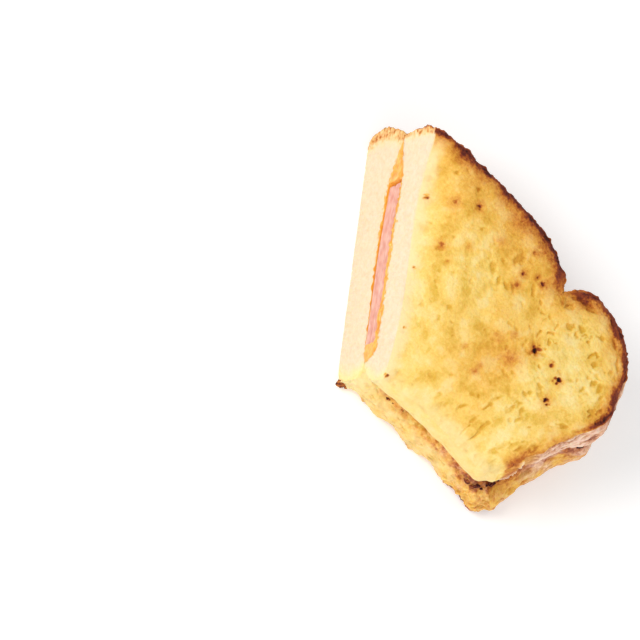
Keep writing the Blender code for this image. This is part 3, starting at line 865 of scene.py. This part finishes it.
def seam_crumbs(material):
    """Burnt crumbs: rough balls, stretched along the seam, whose rings close at both poles."""
    turn = np.tile(np.arange(CRUMB_TURNS) * 2.0 * pi / CRUMB_TURNS, CRUMB_RINGS)
    tilt = np.repeat((np.arange(CRUMB_RINGS) + 1.0) * pi / (CRUMB_RINGS + 1.0), CRUMB_TURNS)
    ball = np.stack([np.sin(tilt) * np.cos(turn), np.sin(tilt) * np.sin(turn), np.cos(tilt)], -1)
    ball = np.concatenate([ball, [[0.0, 0.0, 1.0], [0.0, 0.0, -1.0]]])
    sides = ring_cells(CRUMB_TURNS, CRUMB_RINGS - 1)[:, [0, 3, 2, 1]]
    first = np.arange(CRUMB_TURNS)
    last = first + CRUMB_TURNS * (CRUMB_RINGS - 1)
    poles = np.repeat([len(ball) - 2, len(ball) - 1], CRUMB_TURNS)
    caps = np.stack([poles, np.append(first, np.roll(last, -1)), np.append(np.roll(first, -1), last)], -1)
    points, faces, paler = [], [], []
    for number, (a, b, level, size, long, pale) in enumerate(SEAM_CRUMBS):
        a, b = np.array([a, a + 0.01 if b == 0.0 else a]), np.array([b, b if b == 0.0 else b + 0.01])
        edge = stand_off(plan(a, b), np.zeros(2), a, b, np.full(2, level), LOWER)
        run = (edge[1] - edge[0]) / np.hypot(*(edge[1] - edge[0]))
        out = np.array([run[1], -run[0]])
        body = ball * (1.0 + 0.45 * swell(ball + 7.0 * number, 0.9, 500)[:, None])
        body = size * body * np.array([long, 0.75, 0.7])
        middle = np.append(edge[0] + 0.35 * size * out, level * seam_level(b[0]))
        start = number * len(ball)
        points.append(middle + body @ np.array([[*run, 0.0], [*out, 0.0], [0.0, 0.0, 1.0]]))
        paler.append(np.full(len(ball), pale))
        faces += (sides + start).tolist() + (caps + start).tolist()
    points = np.concatenate(points)
    points[:, 2] = np.maximum(points[:, 2], 0.0)
    masks = {"burn": 0.45 + 0.5 * swell(points, 0.6, 510) + np.concatenate(paler)}
    return make_piece("seam_crumbs", points, faces, masks, material)


# ---- filling


def filling_points(a, b):
    """Plan place of a point of the seam, and the floor and roof of the filling's room there."""
    place = plan(a, b)
    to_rim = np.minimum(nearest_on(place, CRUST_LINE)[0], nearest_on(place, FRONT_LINE)[0])
    return stand_off(place, to_rim, a, b, np.ones_like(a), LOWER), *filling(b, to_rim)


def ham_corners(cells, low_share, high_share, short):
    """Corners of a slab of ham between two shares of the ham's height, and which are on its cut end."""
    a, b, c, quads, _ = box_cells(*cells)
    front, back, side = HAM_REACH
    deep = front + (back - short - front) * b
    wide = a * (side - short) * (1.0 - HAM_CORNER * (2.0 * b - 1.0) ** 4)
    place, floor, roof = filling_points(wide, deep)
    half = 0.5 * HAM_FILL * (roof - floor - 2.0 * GAP)
    middle = 0.5 * (floor + roof) + HAM_TILT * half * (2.0 * deep - 1.0)
    share = low_share + (high_share - low_share) * c
    return np.column_stack([place, middle - half + 2.0 * half * share]), quads, a == 0.0


def ham_slice(name, low_share, high_share, short, seed, material, node):
    """One slice of ham: a slab with rounded rims, wavy faces and a cut end that stands just proud."""
    points, quads, end = ham_corners((40, 150, 8), low_share, high_share, short)
    points = relax(points, quads, np.full(len(points), 0.5), 5)
    waves = 0.10 * swell(points, 3.0, seed) + 0.03 * swell(points, 0.9, seed + 1)
    points = points + normals_of(points, quads) * np.where(end, 0.5 * waves + 0.25, waves)[:, None]
    masks = {"grain": 0.5 + 0.5 * swell(points * np.array([1.0, 0.35, 1.0]), 0.9, seed + 2)}
    return make_piece(name, points, quads.tolist(), masks, material, node)


POCKET_MOUTH = 3.0  # how far the ham's pocket runs out past the knife cut


def melted_cheese(material):
    """Cheese round the ham: a block over the seam with an oozing cut end, less a pocket for the ham."""
    a, b, c, quads, _ = box_cells(56, 230, 14)
    deep = 0.028 + 0.944 * b
    place, floor, roof = filling_points(a * 0.96, deep)
    points = np.column_stack([place, floor + (roof - floor) * c])
    points = relax(points, quads, np.full(len(points), 0.4), 3)
    ooze = (0.22 + 0.35 * ease(rough(points, 1.6, 201) + 0.2)) * ease((deep - 0.02) / 0.1)
    points = points + normals_of(points, quads) * np.where(a == 0.0, ooze, 0.02)[:, None]
    masks = {"grain": 0.5 + 0.5 * swell(points, 1.2, 205)}
    cheese = make_piece("melted_cheese", points, quads.tolist(), masks, material, "cheese")
    points, quads, end = ham_corners((20, 70, 6), -0.08, 1.11, 0.0)
    points[:, 0] -= np.where(end, POCKET_MOUTH, 0.0)
    cutter = new_object("pocket", new_mesh("pocket", points, quads.tolist()))
    boolean = cheese.modifiers.new("pocket", "BOOLEAN")
    boolean.operation = "DIFFERENCE"
    boolean.solver = "EXACT"
    boolean.object = cutter
    bpy.context.view_layer.update()
    hollow = bpy.data.meshes.new_from_object(cheese.evaluated_get(bpy.context.evaluated_depsgraph_get()))
    cheese.modifiers.clear()
    cheese.data = hollow
    bpy.data.objects.remove(cutter)
    return cheese


# ---- materials


def srgb(red, green, blue):
    """A colour given as 0 to 255 on screen, as the shader's linear values."""
    share = np.array([red, green, blue]) / 255.0
    linear = np.where(share <= 0.04045, share / 12.92, ((share + 0.055) / 1.055) ** 2.4)
    return (*map(float, linear), 1.0)


class Nodes:
    """Short calls for building a node tree. A value that is a socket is linked, and any other is set."""

    def __init__(self, tree):
        self.tree = tree

    def give(self, node, values):
        for key, value in values.items():
            if isinstance(value, bpy.types.NodeSocket):
                self.tree.links.new(value, node.inputs[key])
            else:
                node.inputs[key].default_value = value
        return node

    def add(self, kind, values, **settings):
        node = self.tree.nodes.new("ShaderNode" + kind)
        for key, value in settings.items():
            setattr(node, key, value)
        return self.give(node, values)

    def maths(self, operation, first, second, clamp=False):
        return self.add("Math", {0: first, 1: second}, operation=operation, use_clamp=clamp).outputs[0]

    def mask(self, name):
        return self.add("Attribute", {}, attribute_name=name).outputs["Fac"]

    def noise(self, vector, scale, detail=3.0, roughness=0.55):
        values = {"Vector": vector, "Scale": scale, "Detail": detail, "Roughness": roughness}
        return self.add("TexNoise", values).outputs["Fac"]

    def stir(self, vector, size, *values):
        """Noise of a size in metres, about zero."""
        return self.maths("SUBTRACT", self.noise(vector, 1.0 / size, *values), 0.5)

    def mix(self, factor, first, second, kind="MIX"):
        values = {0: factor, 6: first, 7: second}
        return self.add("Mix", values, data_type="RGBA", blend_type=kind).outputs[2]

    def ramp(self, factor, stops):
        node = self.add("ValToRGB", {"Fac": factor})
        stripe = node.color_ramp
        while len(stripe.elements) < len(stops):
            stripe.elements.new(0.5)
        for element, (position, *colour) in zip(stripe.elements, stops):
            element.position = position
            element.color = srgb(*colour)
        return node.outputs["Color"]

    def mottled(self, place, colour, shade, scale, strength):
        """A colour from the mottling group."""
        values = {"Vector": place, "Colour": colour, "Shade": srgb(*shade)}
        values |= {"Scale": scale, "Strength": strength}
        return self.add("Group", values, node_tree=MOTTLING).outputs["Colour"]

    def bump(self, place, size, pits, strength, distance):
        """A normal from the grain group's height, with the distance in millimetres."""
        grain = self.add("Group", {"Vector": place, "Size": size, "Pits": pits}, node_tree=GRAIN)
        values = {"Height": grain.outputs["Height"], "Strength": strength, "Distance": distance * MM}
        return self.add("Bump", values).outputs["Normal"]


def new_group(name, inputs, output, kind):
    """A shader node group with one output. An input's default says its kind, and a vector has none."""
    tree = bpy.data.node_groups.new(name, "ShaderNodeTree")
    kinds = {type(None): "NodeSocketVector", tuple: "NodeSocketColor", float: "NodeSocketFloat"}
    for label, default in inputs.items():
        socket = tree.interface.new_socket(label, in_out="INPUT", socket_type=kinds[type(default)])
        if default is not None:
            socket.default_value = default
    tree.interface.new_socket(output, in_out="OUTPUT", socket_type=kind)
    given, out = tree.nodes.new("NodeGroupInput"), tree.nodes.new("NodeGroupOutput")
    return Nodes(tree), given.outputs, out.inputs[output]


def mottle_group():
    """Mottling: a colour made lighter and darker by noise of a given scale, and by finer noise."""
    colours = {"Colour": (0.8, 0.8, 0.8, 1.0), "Shade": (0.5, 0.4, 0.2, 1.0)}
    inputs = {"Vector": None, **colours, "Scale": 500.0, "Strength": 0.3}
    nodes, given, out = new_group("mottling", inputs, "Colour", "NodeSocketColor")
    wave = nodes.noise(given["Vector"], given["Scale"], 4.0, 0.6)
    centred = nodes.maths("MULTIPLY", nodes.maths("SUBTRACT", wave, 0.42), 3.2, clamp=True)
    amount = nodes.maths("MULTIPLY", centred, given["Strength"])
    nodes.tree.links.new(nodes.mix(amount, given["Colour"], given["Shade"]), out)
    return nodes.tree


def grain_group():
    """Grain: a height from two sizes of noise and from small round pits."""
    inputs = {"Vector": None, "Size": 0.0005, "Pits": 0.5}
    nodes, given, out = new_group("grain", inputs, "Height", "NodeSocketFloat")
    scale = nodes.maths("DIVIDE", 1.0, given["Size"])
    coarse = nodes.noise(given["Vector"], scale, 5.0, 0.65)
    cells = nodes.add("TexVoronoi", {"Vector": given["Vector"], "Scale": scale}).outputs["Distance"]
    pits = nodes.maths("MULTIPLY", nodes.maths("SUBTRACT", cells, 0.35, clamp=True), given["Pits"])
    nodes.tree.links.new(nodes.maths("ADD", coarse, pits), out)
    return nodes.tree


def new_material(name):
    """An empty Principled material: its nodes, its shader and the object's own coordinates."""
    made = bpy.data.materials.new(name)
    made.use_nodes = True
    nodes = Nodes(made.node_tree)
    place = nodes.add("TexCoord", {}).outputs["Object"]
    return made, nodes, made.node_tree.nodes["Principled BSDF"], place


# Stops of the toast's ramp, from pale egg to burnt.
TOAST = (
    (0.00, 255, 229, 150),
    (0.12, 248, 208, 108),
    (0.25, 239, 184, 80),
    (0.38, 220, 148, 60),
    (0.50, 190, 108, 36),
    (0.64, 148, 67, 33),
    (0.80, 104, 41, 32),
    (1.00, 34, 16, 16),
)
# Stops of the flaky crust's ramp, whose whitish end also stands for painted highlight on its crests.
PAPER = ((0.25, 248, 216, 196), (0.45, 226, 178, 150), (0.58, 196, 134, 106), (0.80, 116, 64, 60))
CRUMB = ((0.32, 228, 204, 166), (0.5, 232, 211, 178), (0.68, 236, 217, 188))
BURNT = ((0.25, 48, 20, 26), (0.5, 86, 38, 34), (0.7, 140, 74, 44), (0.95, 200, 124, 60))
HAM = ((0.2, 208, 138, 120), (0.55, 219, 160, 142), (0.85, 230, 180, 162))
CHEESE = ((0.32, 244, 146, 44), (0.5, 250, 170, 62), (0.72, 254, 198, 100))


def bread_material():
    """Egg-soaked toast: a ramp from pale egg to black, bare crumb, cheese stains, papery crust, painted
    shade and highlight.
    """
    made, nodes, shader, place = new_material("toasted_bread")
    maths, mask, mix, stir = nodes.maths, nodes.mask, nodes.mix, nodes.stir
    browning, soak_and_shade = mask("browning"), mask("soak_and_shade")
    speckle = maths("MULTIPLY", stir(place, 0.0006, 5.0, 0.75), 0.85)
    amount = maths("ADD", speckle, maths("MULTIPLY", stir(place, 0.004), 0.22))
    amount = maths("MULTIPLY", amount, maths("ADD", browning, 0.22))
    toast = nodes.ramp(maths("ADD", browning, amount, clamp=True), TOAST)
    # Soak and noise draw the toast towards mustard and towards cream: partly egg-soaked colour, partly
    # painted shade in dents and pores and painted highlight on ridges and lips.
    wet_and_shade = maths("ADD", soak_and_shade, maths("MULTIPLY", stir(place, 0.0010, 5.0, 0.75), 1.7))
    wet_and_shade = maths("ADD", wet_and_shade, maths("MULTIPLY", stir(place, 0.0026, 3.0, 0.6), 1.6))
    light = maths("SUBTRACT", 1.0, maths("MULTIPLY", browning, 2.3), clamp=True)
    pale = maths("MULTIPLY", maths("MULTIPLY", wet_and_shade, -0.7, clamp=True), light)
    wet_and_shade = maths("MULTIPLY", wet_and_shade, 0.66, clamp=True)
    toast = mix(wet_and_shade, toast, mix(1.0, toast, srgb(226, 213, 122), "MULTIPLY"))
    toast = mix(pale, toast, mix(0.7, toast, srgb(255, 238, 180)))
    # The flaky crust's ramp follows the soak too: whitish crests as painted highlight and darker folds as
    # painted shade, over its own noisy tone.
    flake_tone_and_shade = maths("ADD", maths("MULTIPLY", soak_and_shade, 0.30), nodes.noise(place, 1.0 / 0.0012, 4.0, 0.7))
    toast = mix(maths("MULTIPLY", mask("papery"), 0.85), toast, nodes.ramp(flake_tone_and_shade, PAPER))
    toast = mix(maths("MULTIPLY", mask("faded"), 0.9), toast, srgb(243, 223, 168))
    surface = mix(mask("crumb"), toast, nodes.ramp(nodes.noise(place, 1.0 / 0.0011, 5.0, 0.65), CRUMB))
    values = {
        "Base Color": mix(mask("cheesy"), surface, srgb(250, 176, 74)),
        "Roughness": maths("ADD", maths("MULTIPLY", browning, 0.35), 0.5),
        "Normal": nodes.bump(place, 0.0010, 0.4, 0.8, 0.4),
        "Specular IOR Level": 0.2,
        "Subsurface Weight": 0.25,
        "Subsurface Scale": 0.003,
        "Subsurface Radius": (1.0, 0.5, 0.2),
    }
    nodes.give(shader, values)
    return made


def burnt_material():
    """Burnt crust: purple-black with brown edges, rough."""
    made, nodes, shader, place = new_material("burnt_crust")
    burn = nodes.maths("ADD", nodes.mask("burn"), nodes.stir(place, 0.0005))
    normal = nodes.bump(place, 0.0004, 0.6, 0.8, 0.2)
    nodes.give(shader, {"Base Color": nodes.ramp(burn, BURNT), "Normal": normal})
    nodes.give(shader, {"Roughness": 0.8, "Specular IOR Level": 0.15})
    return made


def finish_filling(nodes, shader, place, body, tint, bump, roughness, radius):
    """Mottling over the body's colour, grain, a moist gloss, and light that passes a little way in."""
    values = {
        "Base Color": nodes.mottled(place, body, *tint),
        "Normal": nodes.bump(place, *bump),
        "Roughness": roughness,
        "Subsurface Weight": 0.2,
        "Subsurface Scale": 0.004,
        "Subsurface Radius": radius,
    }
    nodes.give(shader, values)


def ham_material():
    """Cooked ham: even pink with faint paler streaks and a moist sheen."""
    made, nodes, shader, place = new_material("ham")
    streaks = nodes.ramp(nodes.mask("grain"), HAM)
    tint, bump = ((222, 140, 108), 600.0, 0.25), (0.0009, 0.2, 0.25, 0.1)
    finish_filling(nodes, shader, place, streaks, tint, bump, 0.38, (1.0, 0.4, 0.3))
    return made


def cheese_material():
    """Melted cheese: orange with deeper soaked places and a fatty gloss."""
    made, nodes, shader, place = new_material("melted_cheese")
    clouds = nodes.ramp(nodes.noise(place, 1.0 / 0.0016, 4.0, 0.6), CHEESE)
    tint, bump = ((234, 128, 36), 700.0, 0.3), (0.0012, 0.3, 0.3, 0.12)
    finish_filling(nodes, shader, place, clouds, tint, bump, 0.32, (1.0, 0.5, 0.15))
    return made


# ---- stage

VIEW_AZIMUTH = radians(-31.3)
VIEW_ELEVATION = radians(60.0)
VIEW_ROLL = radians(74.0)  # clockwise turn of the picture
VIEW_DISTANCE = 0.6
LENS = 151.9
SENSOR = 36.0
TARGET = Vector((-2.1, 1.4, 20.0)) * MM
TARGET_RIGHT = 0.247  # where the target appears, in frame widths from the middle
TARGET_UP = 0.008


def camera():
    """Looks down at the piece and rolls, with the target right of the middle of the frame."""
    level = Vector((cos(VIEW_AZIMUTH), sin(VIEW_AZIMUTH), 0.0))
    back = Vector((level.y * cos(VIEW_ELEVATION), -level.x * cos(VIEW_ELEVATION), sin(VIEW_ELEVATION)))
    upright = back.cross(level)
    right = level * cos(VIEW_ROLL) + upright * sin(VIEW_ROLL)
    up = upright * cos(VIEW_ROLL) - level * sin(VIEW_ROLL)
    reach = SENSOR / LENS
    towards = Vector((TARGET_RIGHT * reach, TARGET_UP * reach, -1.0))
    turn = towards.rotation_difference(Vector((0.0, 0.0, -1.0))).to_matrix()
    data = bpy.data.cameras.new("camera")
    data.lens = LENS
    data.sensor_width = SENSOR
    made = new_object("camera", data)
    axes = Matrix((right, up, back)).transposed() @ turn
    made.matrix_world = Matrix.Translation(TARGET + back * VIEW_DISTANCE) @ axes.to_4x4()
    bpy.context.scene.camera = made


def area_light(name, direction, distance, size, power, colour=(1.0, 1.0, 1.0)):
    """A square soft light that shines at the piece from a direction."""
    data = bpy.data.lights.new(name, "AREA")
    data.size = size
    data.energy = power
    data.color = colour
    made = new_object(name, data)
    towards = Vector(direction).normalized()
    made.location = towards * distance
    made.rotation_euler = towards.to_track_quat("Z", "Y").to_euler()


FLOOR_HALF = 1.5  # metres


def stage():
    """A pale floor, an even pale sky and soft lights."""
    mesh = bpy.data.meshes.new("floor")
    corners = [(x * FLOOR_HALF, y * FLOOR_HALF, 0.0) for x, y in ((-1, -1), (1, -1), (1, 1), (-1, 1))]
    mesh.from_pydata(corners, [], [(0, 1, 2, 3)])
    made, nodes, shader, _ = new_material("pale_floor")
    white = (1.0, 1.0, 1.0, 1.0)
    glow = {"Emission Color": white, "Emission Strength": 0.2}
    nodes.give(shader, {"Base Color": (0.94, 0.94, 0.94, 1.0), "Roughness": 0.9, **glow})
    mesh.materials.append(made)
    floor = new_object("floor", mesh)
    world = bpy.data.worlds.new("sky")
    world.use_nodes = True
    Nodes(world.node_tree).give(world.node_tree.nodes["Background"], {"Color": white, "Strength": 0.55})
    bpy.context.scene.world = world
    area_light("key", (-0.70, -0.34, 0.63), 0.7, 0.3, 2.9, (1.0, 0.98, 0.95))
    area_light("fill", (0.85, -0.45, 0.40), 0.8, 0.5, 2.2)
    bpy.context.scene.view_settings.view_transform = "Standard"


# ---- making

camera()

# The plan's zero in the frame: the lower ham's box here is laid on its solid's box there.
slab = ham_corners((14, 10, 1), 0.0, HAM_LOWER_SHARE, HAM_OFFSET)[0]
solid_low, solid_high = (np.array(corner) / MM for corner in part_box("ham_lower"))
PLACE = 0.5 * (solid_low + solid_high - slab.min(axis=0) - slab.max(axis=0)) * np.array([1.0, 1.0, 0.0])

MOTTLING = mottle_group()
GRAIN = grain_group()
bread = bread_material()
ham = ham_material()

upper_slice(bread)
lower_slice(bread)
ham_slice("ham_lower_slice", -0.06, HAM_LOWER_SHARE - 0.01, 0.004, 301, ham, "ham_lower")
ham_slice("ham_upper_slice", HAM_LOWER_SHARE + 0.01, 1.09, 0.0, 311, ham, "ham_upper")
melted_cheese(cheese_material())
seam_crumbs(burnt_material())
stage()
